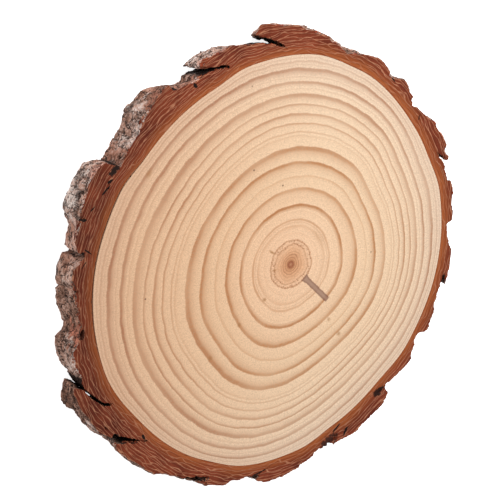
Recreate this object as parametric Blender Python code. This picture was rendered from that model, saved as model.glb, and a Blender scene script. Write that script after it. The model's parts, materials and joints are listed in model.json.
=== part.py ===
"""Wood slice: a cross cut of a pine trunk, lying flat on one sawn face.

Two solids: the wood disc, and the ring of thick plated bark that grew round it.
Metres, +Z up. The origin is under the middle of the slice's outline, at the lower face.
Angles are degrees, counterclockwise from +X, about the middle of the wood disc.
"""

import math
from typing import NamedTuple

import bmesh
import bpy
from mathutils import Vector, noise

MM = 0.001

THICKNESS = 20.0 * MM
WOOD_CENTRE = (4.3 * MM, -4.4 * MM)
WOOD_RADIUS = 135.5 * MM
# Where the wood's edge leaves its mean circle: an angle, and how far out it lies there (mm).
# A smooth curve joins the points.
WOOD_EDGE = (
    (0, 1.0), (14, 0.5), (28, -2.5), (40, -3.0), (66, -0.5), (82, 2.0), (103, 1.0), (116, -2.5),
    (143, -2.5), (156, 1.5), (180, 3.0), (206, 2.5), (229, -1.5), (254, -0.5), (268, 1.5), (286, 0.5),
    (299, -2.5), (316, -3.0), (330, 0.0), (352, 1.0),
)
WOOD_SIDES = 240

# The bark stands off the wood by a hair, and has dried and parted from it on one side
SEAM = 0.3 * MM
PARTED_SEAM = 1.0 * MM
PARTED_FROM, PARTED_TO = 150.0, 194.0
PARTING_RAMP = 10.0

# The bark's plates, in turn round the trunk. Each point is its angle, and how far the bark
# reaches past the wood's mean circle there (mm), at the upper face and at the lower face.
# Where one plate ends and the next begins the outline steps, because plates overlap.
PLATES = (
    ((5.3, 9, 8), (10, 9.5, 9), (12.5, 11, 10), (16, 10.5, 10), (16.7, 8.5, 8.5), (20, 8, 8), (21.5, 6.5, 7)),
    ((21.8, 11.5, 10), (25, 11, 11.5), (26, 13, 12.5), (30, 12.5, 12), (33, 11.5, 11), (38, 7.5, 8),
     (41.5, 5.5, 5.5), (42.5, 4, 4.5), (44, 6, 5.5)),
    ((44.2, 9, 8), (47, 9.5, 10), (49, 11, 11), (51, 11, 10), (54, 7.5, 7.5), (55, 6, 7)),
    ((55.2, 9, 10), (57, 10.5, 12), (61, 13, 9.5), (64, 11.5, 6), (68, 9, 8.5), (71, 6.5, 9),
     (72, 7, 11.5), (74.5, 10, 12), (76, 12, 12.5), (78, 11.5, 13)),
    ((78.2, 14.5, 13), (82, 16.5, 16), (86, 18.5, 16.5), (88, 21.5, 16.5), (91, 23, 16), (93, 23, 17.5),
     (95, 23.5, 16.5), (96.3, 24.5, 11.5), (98.5, 26.5, 7), (99.7, 25.5, 7.5), (101.5, 21.5, 8.5)),
    ((101.7, 16, 8.5), (105, 17, 11), (109, 20, 14), (114, 20.5, 15.5), (117.3, 17.5, 14.5)),
    ((117.5, 10, 14), (119.4, 10, 11), (119.7, 10, 4.5), (122, 12.5, 5), (124, 13.5, 8), (126.7, 14.5, 13)),
    ((126.9, 22, 13.5), (129, 22, 18), (131, 21.5, 19.5), (134, 18.5, 19.5), (137, 17, 19.5),
     (140, 13.5, 14), (145, 13, 12.5), (150, 10.5, 11.5)),
    ((150.4, 24, 14), (152.5, 27, 23), (157, 27.5, 26.5), (160, 27, 25.5), (164, 26, 25), (166, 23, 20),
     (168, 24, 16.5), (170, 23.5, 16), (172.8, 18, 16.5)),
    ((173.9, 14, 17), (177, 20, 19), (180, 19.5, 19), (182, 17, 18), (182.4, 16.5, 15), (183, 16, 19),
     (186, 15, 17.5), (190, 13.5, 14.5), (191.5, 12.5, 14)),
    ((191.9, 15, 13.5), (194, 15.5, 14.5), (195, 15.5, 21), (197, 19.5, 22.5), (200, 20.5, 22),
     (203, 20, 20), (205.3, 18.5, 18)),
    ((205.6, 28, 19), (207, 29.5, 23), (210, 28.5, 28), (213, 27, 28), (215, 25.5, 25.5), (220, 24.5, 24),
     (222, 21.5, 23.5), (225.4, 18, 21.5)),
    ((225.7, 22, 21), (227, 24, 17.5), (231, 22, 14), (232, 21.5, 19), (238, 20, 19.5), (242, 18, 19),
     (243, 15.5, 19), (249, 14, 17.5), (250.8, 13, 15.5)),
    ((251.2, 13.5, 16), (254, 15, 16.5), (257, 15.5, 16), (263, 14.5, 14), (264.5, 12, 12.5),
     (268, 11, 11), (269, 10, 10), (271, 11, 10), (273, 14, 13), (275, 16, 15), (280, 15.5, 14),
     (283, 13.5, 13), (287, 12, 11.5), (290.3, 10, 10)),
    ((290.6, 8.5, 9), (293, 7, 7.5), (295, 10.5, 9), (300, 11, 11), (303, 13, 12), (312, 12.5, 13),
     (315.5, 12.5, 12), (317, 10.5, 11), (317.9, 8, 9.5)),
    ((318.2, 5.5, 6), (321, 7, 6.5), (324, 9, 8), (327.5, 10, 9), (329, 8, 8.5), (331.4, 6.5, 7)),
    ((331.7, 5, 6), (334.6, 4.5, 5)),
    ((334.9, 8, 8), (336, 10, 9.5), (341.5, 10, 9.5), (342.5, 8, 8.5), (347.4, 7, 7.5)),
    ((347.7, 11, 10), (349, 12, 11), (354, 13, 12), (358, 11.5, 11), (360, 8.5, 9), (361.5, 7, 7),
     (363.5, 6.5, 6.5), (365.1, 5, 5.5)),
)
COLUMN_STEP = 1.05
# Levels of the bark's outer surface, as shares of the thickness below the upper face
LEVELS = (0.0, 0.11, 0.25, 0.39, 0.53, 0.67, 0.82, 1.0)
MEAN_REACH = 15.0 * MM
FLAKE_HEIGHT = 4.2 * MM
FLAKE_WIDTH = 12.0 * MM
FLAKE_LENGTH = 9.0 * MM
# Flakes have bent outlines: how far (in flakes) they bend, and how quickly that changes
FLAKE_BEND = 0.7
FLAKE_BEND_RATE = 1.3
# How much of the relief is the flakes' own steps, and how much a swell two flakes wide
STEP_SHARE = 0.7
SWELL_SHARE = 0.6
SWELL_FLAKES = 2.0
# At the two arrises the relief is this share of the full one
ARRIS_RELIEF = 0.25
EDGE_ROUGHNESS = 0.4 * MM
SPLINTER_WIDTH = 2.5 * MM
SPLINTER_ROWS = 4.0
# Each pattern reads its own slice of the noise, so the two are unlike
FLAKE_DRAW, SPLINTER_DRAW = 3.7, 9.1
NOISE_SEED = 11


class Crack(NamedTuple):
    """A gap cut into the bark from the upper face.

    depth is in millimetres, or THROUGH. lean is how much nearer the wood the crack lies at its
    lower end, as a share of its distance from the wood. Each point is its angle, its distance
    past the wood's edge (mm) and the crack's width there (mm).
    """

    name: str
    depth: float
    lean: float
    points: tuple


THROUGH = 20.0
# The cracks between overlapping plates, then shallow hollows that flakes have left
CRACKS = (
    Crack("crack_right", THROUGH, 0.15, ((21.0, 11.0, 5.0), (23, 9.4, 3.2), (25, 7.8, 1.8), (27, 6.4, 0.9))),
    Crack("crack_upper_right", THROUGH, 0.1, ((42.6, 7.8, 1.6), (40, 6.0, 1.0), (37, 4.4, 0.8))),
    Crack("crack_top", THROUGH, 0.5, ((103.0, 19.4, 6.4), (99.5, 16.0, 5.4), (96, 12.5, 4.5),
                                      (93, 8.4, 3.0), (90.8, 5.0, 1.2))),
    Crack("crack_top_left", THROUGH, 0.38, ((123.0, 22.0, 5.0), (117.6, 17.2, 4.8), (113.5, 13.0, 3.8),
                                            (111, 10.2, 3.0), (109.4, 7.0, 1.6))),
    Crack("crack_upper_left", THROUGH, 0.05, ((165.0, 26.0, 2.0), (164.3, 20.0, 1.6), (163.4, 16.0, 0.9))),
    Crack("crack_left", THROUGH, 0.1, ((172.7, 20.0, 4.6), (173.3, 15.0, 4.0), (173.5, 11.5, 3.2),
                                       (173.4, 9.2, 1.4))),
    Crack("crack_lower_left", THROUGH, 0.2, ((203.6, 23.5, 9.0), (205.8, 20.2, 4.6), (207.6, 17.8, 2.8),
                                             (209.5, 16.4, 2.6), (212.3, 13.6, 3.4), (214.5, 11.0, 2.8),
                                             (215.9, 8.0, 3.4), (216.2, 5.2, 1.6))),
    Crack("crack_bottom_left", THROUGH, 0.2, ((223.6, 21.4, 7.0), (226.2, 17.4, 5.2), (229, 12.8, 4.0),
                                              (231.1, 9.4, 2.2), (232.6, 6.6, 2.6), (233.2, 4.8, 1.2))),
    Crack("crack_bottom", THROUGH, 0.2, ((268.6, 10.6, 4.2), (271.6, 9.8, 3.2), (273.5, 8.0, 1.4),
                                         (277.5, 4.6, 0.8))),
    Crack("crack_far_right", THROUGH, 0.15, ((346.6, 9.4, 3.8), (348.4, 8.6, 2.8), (351.5, 6.9, 1.2),
                                             (354.5, 5.0, 0.8))),
    Crack("hollow_upper_left", 6.0, 0.0, ((154.0, 11.8, 1.6), (156.3, 10.4, 2.0), (158.4, 8.0, 1.0))),
    Crack("hollow_left", 5.0, 0.0, ((181.2, 12.2, 1.0), (182.6, 12.0, 1.8), (183.8, 11.8, 1.0))),
    Crack("hollow_lower_left", 7.0, 0.0, ((192.2, 8.8, 1.6), (193.6, 9.6, 2.8), (195.2, 10.4, 1.4))),
    Crack("hollow_bottom_left", 6.0, 0.0, ((219.2, 19.4, 1.6), (220.4, 19.2, 2.4), (221.4, 19.8, 1.2))),
    Crack("hollow_bottom", 9.0, 0.0, ((250.0, 15.2, 3.4), (253.0, 13.2, 3.4), (256.0, 12.4, 3.0),
                                      (257.6, 9.8, 1.6))),
    Crack("hollow_bottom_right", 2.5, 0.0, ((293.6, 8.6, 2.0), (296.0, 10.2, 5.0), (298.0, 9.0, 4.2),
                                            (298.8, 7.6, 2.0))),
    Crack("hollow_lower_right", 2.5, 0.0, ((318.6, 9.6, 5.6), (317.0, 9.4, 4.6), (315.2, 7.0, 3.4),
                                           (314.2, 5.0, 1.4))),
)
CUT_OVERSHOOT = 2.0 * MM
MERGE_DISTANCE = 0.01 * MM

WOOD_COLOUR = (0.72, 0.49, 0.29, 1.0)
BARK_COLOUR = (0.19, 0.058, 0.026, 1.0)
WOOD_ROUGHNESS = 0.55
BARK_ROUGHNESS = 0.85


def wood_edge(degrees):
    """Radius of the wood disc at an angle."""
    degrees = degrees % 360.0
    first_angle, first_height = WOOD_EDGE[0]
    closed = WOOD_EDGE + ((first_angle + 360.0, first_height),)
    for (start, height_a), (end, height_b) in zip(closed, closed[1:]):
        if degrees <= end:
            share = (1.0 - math.cos(math.pi * (degrees - start) / (end - start))) / 2
            return WOOD_RADIUS + (height_a + (height_b - height_a) * share) * MM
    return WOOD_RADIUS + first_height * MM


def seam_width(degrees):
    """Gap between wood and bark, wider where the bark has parted."""
    degrees = degrees % 360.0
    inside = min(degrees - PARTED_FROM, PARTED_TO - degrees)
    share = min(max(inside / PARTING_RAMP + 1.0, 0.0), 1.0)
    return SEAM + (PARTED_SEAM - SEAM) * share


def place(degrees, radius, height):
    """A point of the slice by its angle and distance from the disc's middle."""
    angle = math.radians(degrees)
    middle_x, middle_y = WOOD_CENTRE
    return Vector((middle_x + radius * math.cos(angle), middle_y + radius * math.sin(angle), height))


def flake_relief(degrees, level):
    """Raised and missing flakes on the bark's outer surface, each flake at a height of its own."""
    around = math.radians(degrees) * (WOOD_RADIUS + MEAN_REACH)
    spot = Vector((around / FLAKE_WIDTH, level * THICKNESS / FLAKE_LENGTH, FLAKE_DRAW))
    bent = spot + noise.noise_vector(spot * FLAKE_BEND_RATE) * FLAKE_BEND
    swell = noise.noise(spot / SWELL_FLAKES)
    return FLAKE_HEIGHT / 2 * (STEP_SHARE * noise.cell(bent) + SWELL_SHARE * swell)


def edge_roughness(degrees, level):
    """Small broken irregularities, the same at a place in each run."""
    around = math.radians(degrees) * (WOOD_RADIUS + MEAN_REACH)
    return EDGE_ROUGHNESS * noise.noise(Vector((around / SPLINTER_WIDTH, level * SPLINTER_ROWS, SPLINTER_DRAW)))


def bark_columns():
    """Angle and reach at the two faces for every upright column of the bark, in turn."""
    columns = []
    for plate in PLATES:
        for (start, top_a, foot_a), (end, top_b, foot_b) in zip(plate, plate[1:]):
            steps = max(1, math.ceil((end - start) / COLUMN_STEP))
            for step in range(steps):
                share = step / steps
                columns.append((start + (end - start) * share, top_a + (top_b - top_a) * share,
                                foot_a + (foot_b - foot_a) * share))
        columns.append(plate[-1])
    return columns


def bark_section(degrees, top, foot):
    """One upright section of the bark: up the inner wall, across, and down the outer surface."""
    inner = wood_edge(degrees) + seam_width(degrees)
    section = [place(degrees, inner, 0.0), place(degrees, inner, THICKNESS)]
    for level in LEVELS:
        reach = (top + (foot - top) * level) * MM
        belly = ARRIS_RELIEF + (1.0 - ARRIS_RELIEF) * math.sin(math.pi * level)
        relief = flake_relief(degrees, level) * belly + edge_roughness(degrees, level)
        section.append(place(degrees, WOOD_RADIUS + reach + relief, THICKNESS * (1.0 - level)))
    return section


def add_object(name, mesh, collection, material=None):
    """Link a mesh to a collection as a new object."""
    obj = bpy.data.objects.new(name, mesh)
    collection.objects.link(obj)
    if material is not None:
        mesh.materials.append(material)
    return obj


def make_bark(collection, material):
    """The bark ring, lofted round through its upright sections."""
    shape = bmesh.new()
    rings = [[shape.verts.new(point) for point in bark_section(*column)] for column in bark_columns()]
    for ring, following in zip(rings, rings[1:] + rings[:1]):
        for index in range(len(ring)):
            after = (index + 1) % len(ring)
            shape.faces.new((ring[index], ring[after], following[after], following[index]))
    bmesh.ops.recalc_face_normals(shape, faces=shape.faces)
    mesh = bpy.data.meshes.new("bark")
    shape.to_mesh(mesh)
    shape.free()
    return add_object("bark", mesh, collection, material)


def flat_outline(name, points, bottom, top):
    """A closed upright solid over a flat outline, from a filled 2D curve."""
    curve = bpy.data.curves.new(name + "_outline", "CURVE")
    curve.dimensions = "2D"
    curve.fill_mode = "BOTH"
    curve.extrude = (top - bottom) / 2
    spline = curve.splines.new("POLY")
    spline.points.add(len(points) - 1)
    for spline_point, point in zip(spline.points, points):
        spline_point.co = (point.x, point.y, 0.0, 1.0)
    spline.use_cyclic_u = True
    helper = bpy.data.objects.new(name + "_outline", curve)
    bpy.context.scene.collection.objects.link(helper)
    mesh = bpy.data.meshes.new_from_object(helper.evaluated_get(bpy.context.evaluated_depsgraph_get()))
    bpy.data.objects.remove(helper)
    bpy.data.curves.remove(curve)
    shape = bmesh.new()
    shape.from_mesh(mesh)
    bmesh.ops.remove_doubles(shape, verts=shape.verts, dist=MERGE_DISTANCE)
    bmesh.ops.translate(shape, verts=shape.verts, vec=(0.0, 0.0, (top + bottom) / 2))
    bmesh.ops.recalc_face_normals(shape, faces=shape.faces)
    shape.to_mesh(mesh)
    shape.free()
    mesh.name = name
    return mesh


def make_wood(collection, material):
    """The wood disc, sawn flat on both faces."""
    angles = [360.0 * side / WOOD_SIDES for side in range(WOOD_SIDES)]
    outline = [place(angle, wood_edge(angle), 0.0) for angle in angles]
    return add_object("wood", flat_outline("wood", outline, 0.0, THICKNESS), collection, material)


def crack_outline(points, share):
    """The flat outline of a crack: out along one side of its middle line and back on the other.

    share scales its distance from the wood.
    """
    middle = [place(degrees, wood_edge(degrees) + reach * share * MM, 0.0) for degrees, reach, _ in points]
    near_side, far_side = [], []
    for index, point in enumerate(middle):
        ahead = middle[min(index + 1, len(middle) - 1)] - middle[max(index - 1, 0)]
        across = Vector((-ahead.y, ahead.x, 0.0)).normalized() * (points[index][2] * MM / 2)
        near_side.append(point + across)
        far_side.append(point - across)
    return near_side + far_side[::-1]


def make_crack(crack, collection):
    """A cutter for one crack, leaning towards the wood as it goes down."""
    upper = crack_outline(crack.points, 1.0)
    lower = crack_outline(crack.points, 1.0 - crack.lean)
    overshoot = CUT_OVERSHOOT if crack.depth == THROUGH else 0.0
    bottom = THICKNESS - crack.depth * MM - overshoot
    mesh = flat_outline(crack.name, upper, bottom, THICKNESS + CUT_OVERSHOOT)
    for vertex in mesh.vertices:
        if vertex.co.z < THICKNESS:
            place_above = min(range(len(upper)), key=lambda index: (upper[index] - vertex.co).xy.length)
            vertex.co.xy = lower[place_above].xy
    cutter = add_object(crack.name, mesh, collection)
    cutter.hide_render = True
    cutter.display_type = "WIRE"


def make_material(name, colour, roughness):
    """A plain Principled material."""
    material = bpy.data.materials.new(name)
    material.use_nodes = True
    shader = material.node_tree.nodes["Principled BSDF"]
    shader.inputs["Base Color"].default_value = colour
    shader.inputs["Roughness"].default_value = roughness
    shader.inputs["Metallic"].default_value = 0.0
    return material


def make_collection(name):
    """A new collection in the scene."""
    collection = bpy.data.collections.new(name)
    bpy.context.scene.collection.children.link(collection)
    return collection


def clear_scene():
    """Start from an empty scene."""
    for obj in list(bpy.data.objects):
        bpy.data.objects.remove(obj)


def main():
    """Make the two parts, and cut the cracks into the bark."""
    clear_scene()
    noise.seed_set(NOISE_SEED)
    parts = make_collection("wood_slice")
    cutters = make_collection("cutters")
    make_wood(parts, make_material("pine wood", WOOD_COLOUR, WOOD_ROUGHNESS))
    bark = make_bark(parts, make_material("pine bark", BARK_COLOUR, BARK_ROUGHNESS))
    for crack in CRACKS:
        make_crack(crack, cutters)
    cut = bark.modifiers.new("cracks", "BOOLEAN")
    cut.operation = "DIFFERENCE"
    cut.operand_type = "COLLECTION"
    cut.collection = cutters
    cut.solver = "EXACT"


main()
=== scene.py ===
"""Wood slice: a sanded pine disc in its ring of thick bark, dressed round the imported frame.

The disc shows its growth rings, the mark of one branch and a few small flecks. The bark is
sawn through on both faces, which bares its layers, and weathered into scales outside.
Lengths in the classes are millimetres unless a name says otherwise. Meshes are metres, +Z up.
Angles are degrees, counterclockwise from +X, seen from above.
"""

import json
import logging
import math
from dataclasses import dataclass
from enum import Enum
from typing import Any, NamedTuple

import bpy
import numpy as np
from mathutils import Matrix, Vector, noise

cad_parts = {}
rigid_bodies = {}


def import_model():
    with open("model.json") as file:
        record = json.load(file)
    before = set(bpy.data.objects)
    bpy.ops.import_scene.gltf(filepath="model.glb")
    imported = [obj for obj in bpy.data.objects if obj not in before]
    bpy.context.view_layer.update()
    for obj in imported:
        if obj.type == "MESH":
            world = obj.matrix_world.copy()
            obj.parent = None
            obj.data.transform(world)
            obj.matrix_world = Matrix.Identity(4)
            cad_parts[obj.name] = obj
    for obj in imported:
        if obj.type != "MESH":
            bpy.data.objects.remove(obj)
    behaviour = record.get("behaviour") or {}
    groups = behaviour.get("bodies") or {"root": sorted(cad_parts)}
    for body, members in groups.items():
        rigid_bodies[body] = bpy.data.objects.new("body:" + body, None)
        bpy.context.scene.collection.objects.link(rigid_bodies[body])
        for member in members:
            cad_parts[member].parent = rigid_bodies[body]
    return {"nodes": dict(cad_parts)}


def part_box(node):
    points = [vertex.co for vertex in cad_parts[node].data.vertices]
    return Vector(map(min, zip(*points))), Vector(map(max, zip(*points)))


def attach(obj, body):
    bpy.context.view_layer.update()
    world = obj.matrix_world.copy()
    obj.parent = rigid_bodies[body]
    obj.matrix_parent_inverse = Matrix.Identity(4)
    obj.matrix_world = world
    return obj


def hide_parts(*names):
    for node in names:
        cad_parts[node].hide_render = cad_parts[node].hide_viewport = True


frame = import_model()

LOG = logging.getLogger("wood_slice")
MM = 0.001
NOISE_SEED = 5
# Most of a noise pattern's values lie between these
NOISE_SPAN = (0.3, 0.7)
Tree = bpy.types.NodeTree
Socket = bpy.types.NodeSocket
Colour = tuple[float, float, float, float]


def linear(hex_colour: str) -> Colour:
    """Turn an sRGB hex colour into the linear colour that a shader takes.

    Args:
        hex_colour: six hex digits after a hash.

    Returns:
        Red, green, blue and a full alpha.
    """
    shades = [int(hex_colour[start:start + 2], 16) / 255 for start in (1, 3, 5)]
    red, green, blue = (s / 12.92 if s <= 0.04045 else ((s + 0.055) / 1.055) ** 2.4 for s in shades)
    return (red, green, blue, 1.0)


def fill_inputs(tree: Tree, node: bpy.types.Node, inputs: dict[Any, Any]) -> None:
    """Link or set a node's inputs.

    Args:
        tree: the material's node tree.
        node: the node.
        inputs: for each input, by name or number, a socket to link it to or a value to set.
    """
    for name, value in inputs.items():
        if isinstance(value, Socket):
            tree.links.new(value, node.inputs[name])
        else:
            node.inputs[name].default_value = value


def add_node(tree: Tree, kind: str, inputs: dict[Any, Any] | None = None, **settings: Any) -> bpy.types.Node:
    """Add a shader node with its settings and links.

    Args:
        tree: the material's node tree.
        kind: the node's Blender type.
        inputs: what goes into it, as fill_inputs takes it.
        settings: the node's own properties.

    Returns:
        The new node.
    """
    node = tree.nodes.new(kind)
    for name, value in settings.items():
        setattr(node, name, value)
    fill_inputs(tree, node, inputs or {})
    return node


def maths(tree: Tree, operation: str, *values: Any, **settings: Any) -> Socket:
    """Work out a number.

    Args:
        tree: the material's node tree.
        operation: what is done with the values.
        values: sockets or numbers, in the operation's order.
        settings: the node's own properties.

    Returns:
        The result.
    """
    node = add_node(tree, "ShaderNodeMath", dict(enumerate(values)), operation=operation, **settings)
    return node.outputs[0]


def vector_maths(tree: Tree, operation: str, *values: Any) -> Socket:
    """Work out a vector, or a number from vectors.

    Args:
        tree: the material's node tree.
        operation: what is done with the values.
        values: sockets or vectors, in the operation's order.

    Returns:
        The result, which is a number for a length or a dot product.
    """
    node = add_node(tree, "ShaderNodeVectorMath", dict(enumerate(values)), operation=operation)
    return node.outputs["Value" if operation in ("LENGTH", "DOT_PRODUCT") else "Vector"]


def scaled(tree: Tree, vector: Socket, by: Any) -> Socket:
    """A vector or colour times a number or a socket."""
    return add_node(tree, "ShaderNodeVectorMath", {0: vector, "Scale": by}, operation="SCALE").outputs[0]


def split(tree: Tree, vector: Socket) -> Any:
    """A vector's three parts, as sockets."""
    return add_node(tree, "ShaderNodeSeparateXYZ", {0: vector}).outputs


def rescale(tree: Tree, value: Socket, old: tuple[float, float] = (0.0, 1.0),
            new: tuple[float, float] = (0.0, 1.0), clamp: bool = True) -> Socket:
    """Turn one range of numbers into another.

    Args:
        tree: the material's node tree.
        value: the number.
        old: two of its values.
        new: what those two become.
        clamp: whether the result stays between the new two.

    Returns:
        The new number.
    """
    inputs = {0: value, 1: old[0], 2: old[1], 3: new[0], 4: new[1]}
    return add_node(tree, "ShaderNodeMapRange", inputs, clamp=clamp).outputs[0]


def blend(tree: Tree, share: Socket, first: Any, second: Any) -> Socket:
    """Mix two colours.

    Args:
        tree: the material's node tree.
        share: how much of the second there is.
        first: a colour or a socket.
        second: a colour or a socket.

    Returns:
        The mixed colour.
    """
    return add_node(tree, "ShaderNodeMix", {0: share, 6: first, 7: second}, data_type="RGBA").outputs[2]


def noise_node(tree: Tree, place: Socket, size: float, detail: float, roughness: float = 0.5,
               distortion: float = 0.0) -> bpy.types.Node:
    """Add a noise pattern.

    Args:
        tree: the material's node tree.
        place: where it is read.
        size: about how wide one of its blotches is.
        detail: how many finer patterns lie over it.
        roughness: how strong the finer ones are.
        distortion: how far it is swirled.

    Returns:
        The noise node.
    """
    return add_node(tree, "ShaderNodeTexNoise", {
        "Vector": place, "Scale": 1.0 / size, "Detail": detail, "Roughness": roughness,
        "Distortion": distortion})


def stored(tree: Tree, name: str, output: str = "Fac") -> Socket:
    """A value that the mesh carries."""
    return add_node(tree, "ShaderNodeAttribute", attribute_name=name).outputs[output]


def millimetres(tree: Tree) -> Socket:
    """The place on the object, in millimetres."""
    return scaled(tree, add_node(tree, "ShaderNodeTexCoord").outputs["Object"], 1.0 / MM)


def turned(tree: Tree, vector: Socket, degrees: float) -> Socket:
    """A vector turned clockwise in plan."""
    return add_node(tree, "ShaderNodeMapping", {
        "Vector": vector, "Rotation": (0.0, 0.0, -math.radians(degrees))}, vector_type="POINT").outputs[0]


def off_oval(tree: Tree, from_middle: Socket, degrees: float, length: float, width: float) -> Socket:
    """Distance from the middle of an oval, 1 at its edge.

    Args:
        tree: the material's node tree.
        from_middle: the place, from the oval's middle.
        degrees: the direction of the oval's length.
        length: the oval's length.
        width: the oval's width.

    Returns:
        The distance.
    """
    along = turned(tree, from_middle, degrees)
    return vector_maths(tree, "LENGTH", vector_maths(
        tree, "MULTIPLY", along, (2.0 / length, 2.0 / width, 0.0)))


def bumped(tree: Tree, height: Socket, strength: float, depth: float) -> Socket:
    """The surface's direction after a relief, with the relief's depth in millimetres."""
    return add_node(tree, "ShaderNodeBump", {
        "Height": height, "Strength": strength, "Distance": depth * MM}).outputs[0]


def new_material(name: str) -> tuple[bpy.types.Material, Tree, bpy.types.Node]:
    """Start a material.

    Args:
        name: its name.

    Returns:
        The material, its node tree and its main shader.
    """
    material = bpy.data.materials.new(name)
    material.use_nodes = True
    return material, material.node_tree, material.node_tree.nodes["Principled BSDF"]


def colour_ramp(tree: Tree, share: Socket, stops: list[tuple[float, Colour]]) -> Socket:
    """A colour that follows a number.

    Args:
        tree: the material's node tree.
        share: the number, from 0 to 1.
        stops: a place from 0 to 1 and a colour for each, in order.

    Returns:
        The colour.
    """
    node = add_node(tree, "ShaderNodeValToRGB", {0: share})
    ramp = node.color_ramp
    ramp.interpolation = "LINEAR"
    while len(ramp.elements) > 1:
        ramp.elements.remove(ramp.elements[-1])
    ramp.elements[0].position, ramp.elements[0].color = stops[0]
    for place, colour in stops[1:]:
        ramp.elements.new(place).color = colour
    return node.outputs[0]


def grey(value: float) -> Colour:
    """A neutral colour for a ramp that carries a number."""
    return (value, value, value, 1.0)


def deselect_all() -> None:
    """Leave no object selected, so that an operator touches only what is chosen next."""
    for obj in bpy.context.view_layer.objects:
        obj.select_set(False)


def pick(obj: bpy.types.Object) -> None:
    """Make one object the only selected one, and the active one.

    Args:
        obj: the object.
    """
    deselect_all()
    obj.select_set(True)
    bpy.context.view_layer.objects.active = obj


def points_of(mesh: bpy.types.Mesh) -> np.ndarray:
    """Read a mesh's points.

    Args:
        mesh: the mesh.

    Returns:
        Its points in millimetres, one row each.
    """
    flat = np.zeros(len(mesh.vertices) * 3)
    mesh.vertices.foreach_get("co", flat)
    return flat.reshape(-1, 3) / MM


def move_points(mesh: bpy.types.Mesh, points: np.ndarray) -> None:
    """Put a mesh's points where an array in millimetres says."""
    mesh.vertices.foreach_set("co", (points * MM).ravel())
    mesh.update()


def keep_on_mesh(mesh: bpy.types.Mesh, name: str, values: np.ndarray) -> None:
    """Store a number or a vector for each point, for the materials to read.

    Args:
        mesh: the mesh that carries it.
        name: the attribute's name.
        values: one number or one row of three for each point.
    """
    kind, field = ("FLOAT", "value") if values.ndim == 1 else ("FLOAT_VECTOR", "vector")
    attribute = mesh.attributes.new(name, kind, "POINT")
    attribute.data.foreach_set(field, values.astype(np.float32).ravel())


def turn_apart(first: np.ndarray, second: np.ndarray | float) -> np.ndarray:
    """Signed degrees from the second angle to the first, between -180 and 180."""
    return (first - second + 180.0) % 360.0 - 180.0


class Outline:
    """The wood's edge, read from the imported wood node.

    Attributes:
        middle: the node's middle in plan, in millimetres.
        thickness: the slice's height in millimetres.
    """

    def __init__(self, node: str) -> None:
        """Read the outline.

        Args:
            node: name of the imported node.
        """
        low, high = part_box(node)
        self.middle = np.array([(low.x + high.x) / 2, (low.y + high.y) / 2]) / MM
        self.thickness = (high.z - low.z) / MM
        points = points_of(frame["nodes"][node].data)
        self.edge = points[np.hypot(*(points[:, :2] - self.middle).T) > self.thickness, :2]

    def reach_from(self, centre: np.ndarray, degrees: np.ndarray) -> np.ndarray:
        """Distance from a point inside the disc to the wood's edge.

        Args:
            centre: the point in plan, in millimetres.
            degrees: directions from that point.

        Returns:
            A distance in millimetres for each direction.
        """
        away = self.edge - centre
        around = np.degrees(np.arctan2(away[:, 1], away[:, 0]))
        order = np.argsort(around)
        return np.interp(turn_apart(degrees, 0.0), around[order], np.hypot(*away.T)[order], period=360.0)


class Bulge(NamedTuple):
    """Where the rings bulge out, or draw in, past circles that lean off the pith.

    Attributes:
        towards: the direction from the pith.
        spread: how far to each side of it the bulge reaches, in degrees.
        height: how far out the rings bulge. Below 0 they draw in.
        begins: the age of the first ring that bulges.
        full: the age from which the rings bulge by the full height.
    """

    towards: float
    spread: float
    height: float
    begins: float
    full: float


BULGES = (
    Bulge(256, 50, 7.0, 20, 70), Bulge(205, 25, 2.0, 45, 70), Bulge(345, 40, 4.0, 20, 80),
    Bulge(35, 20, -2.0, 50, 68), Bulge(145, 50, -6.0, 60, 100), Bulge(150, 45, 4.0, 106, 118),
)


class Ring(NamedTuple):
    """The late wood that ends a year's growth.

    Attributes:
        age: mean distance from the pith to its sharp outer edge.
        fade: how far in it begins to darken.
        body: how wide its darkest part is.
        strength: its darkness at the edge, from 0 to 1.
    """

    age: float
    fade: float
    body: float
    strength: float


RINGS = (
    Ring(3.5, 0.8, 0.3, 0.25), Ring(5.0, 0.9, 0.3, 0.50), Ring(7.0, 0.9, 0.3, 0.55),
    Ring(9.0, 1.0, 0.3, 0.30), Ring(11.0, 0.8, 0.3, 0.22), Ring(13.5, 0.9, 0.4, 0.50),
    Ring(16.5, 1.2, 0.6, 0.60), Ring(21.5, 2.0, 0.5, 0.12), Ring(26.5, 3.2, 1.0, 0.26),
    Ring(28.5, 1.0, 0.4, 0.28), Ring(30.5, 2.6, 1.2, 0.40), Ring(36.0, 1.5, 0.5, 0.10),
    Ring(40.5, 4.0, 1.3, 0.78), Ring(51.5, 4.4, 1.4, 0.72), Ring(59.5, 2.4, 0.6, 0.34),
    Ring(68.5, 4.6, 1.2, 0.80), Ring(78.0, 6.2, 2.0, 0.66), Ring(85.0, 2.4, 0.6, 0.26),
    Ring(87.5, 2.0, 0.8, 0.38), Ring(93.0, 1.8, 0.6, 0.56), Ring(99.0, 3.4, 1.1, 0.66),
    Ring(105.0, 2.2, 0.7, 0.64), Ring(111.5, 5.4, 1.8, 0.62), Ring(115.0, 1.6, 0.6, 0.18),
    Ring(119.5, 4.4, 1.3, 0.66), Ring(122.5, 0.9, 0.3, 0.24), Ring(127.5, 4.0, 1.4, 0.66),
    Ring(129.5, 0.8, 0.3, 0.20), Ring(131.5, 1.5, 0.5, 0.42), Ring(133.5, 0.9, 0.3, 0.34),
)
# A colour ramp holds 32 stops at most, and a ring takes five
RINGS_A_RAMP = 6
# A ramp ends this far past its last ring
PAST_LAST_RING = 1.0
RIM_AGE = 135.0


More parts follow.
